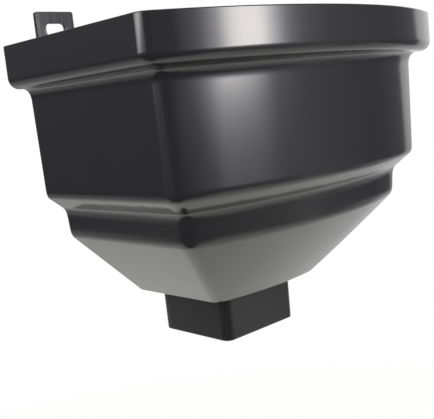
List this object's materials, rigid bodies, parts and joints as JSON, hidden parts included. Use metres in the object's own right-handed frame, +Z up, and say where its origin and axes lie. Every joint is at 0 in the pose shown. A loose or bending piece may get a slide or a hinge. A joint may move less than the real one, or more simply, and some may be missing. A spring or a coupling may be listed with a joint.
{
  "type": "downspout adapter",
  "caption": "Wall-mounted rainwater hopper head: a bow-fronted stepped basin that funnels down to a square downpipe spigot, with slotted screw lugs on its back wall.",
  "frame": {"origin": "on the wall face of the flat back, on the centre line, 60 mm below the rim", "axes": "+Z up along the wall, +Y into the wall, -Y towards the bowed front, X along the rim"},
  "size_m": [0.25, 0.1596, 0.2179],
  "materials": {
    "moulded_pvc": "gloss black moulded PVC, smooth outside"
  },
  "bodies": {
    "root": {"hopper_body": "moulded_pvc"}
  },
  "joints": []
}
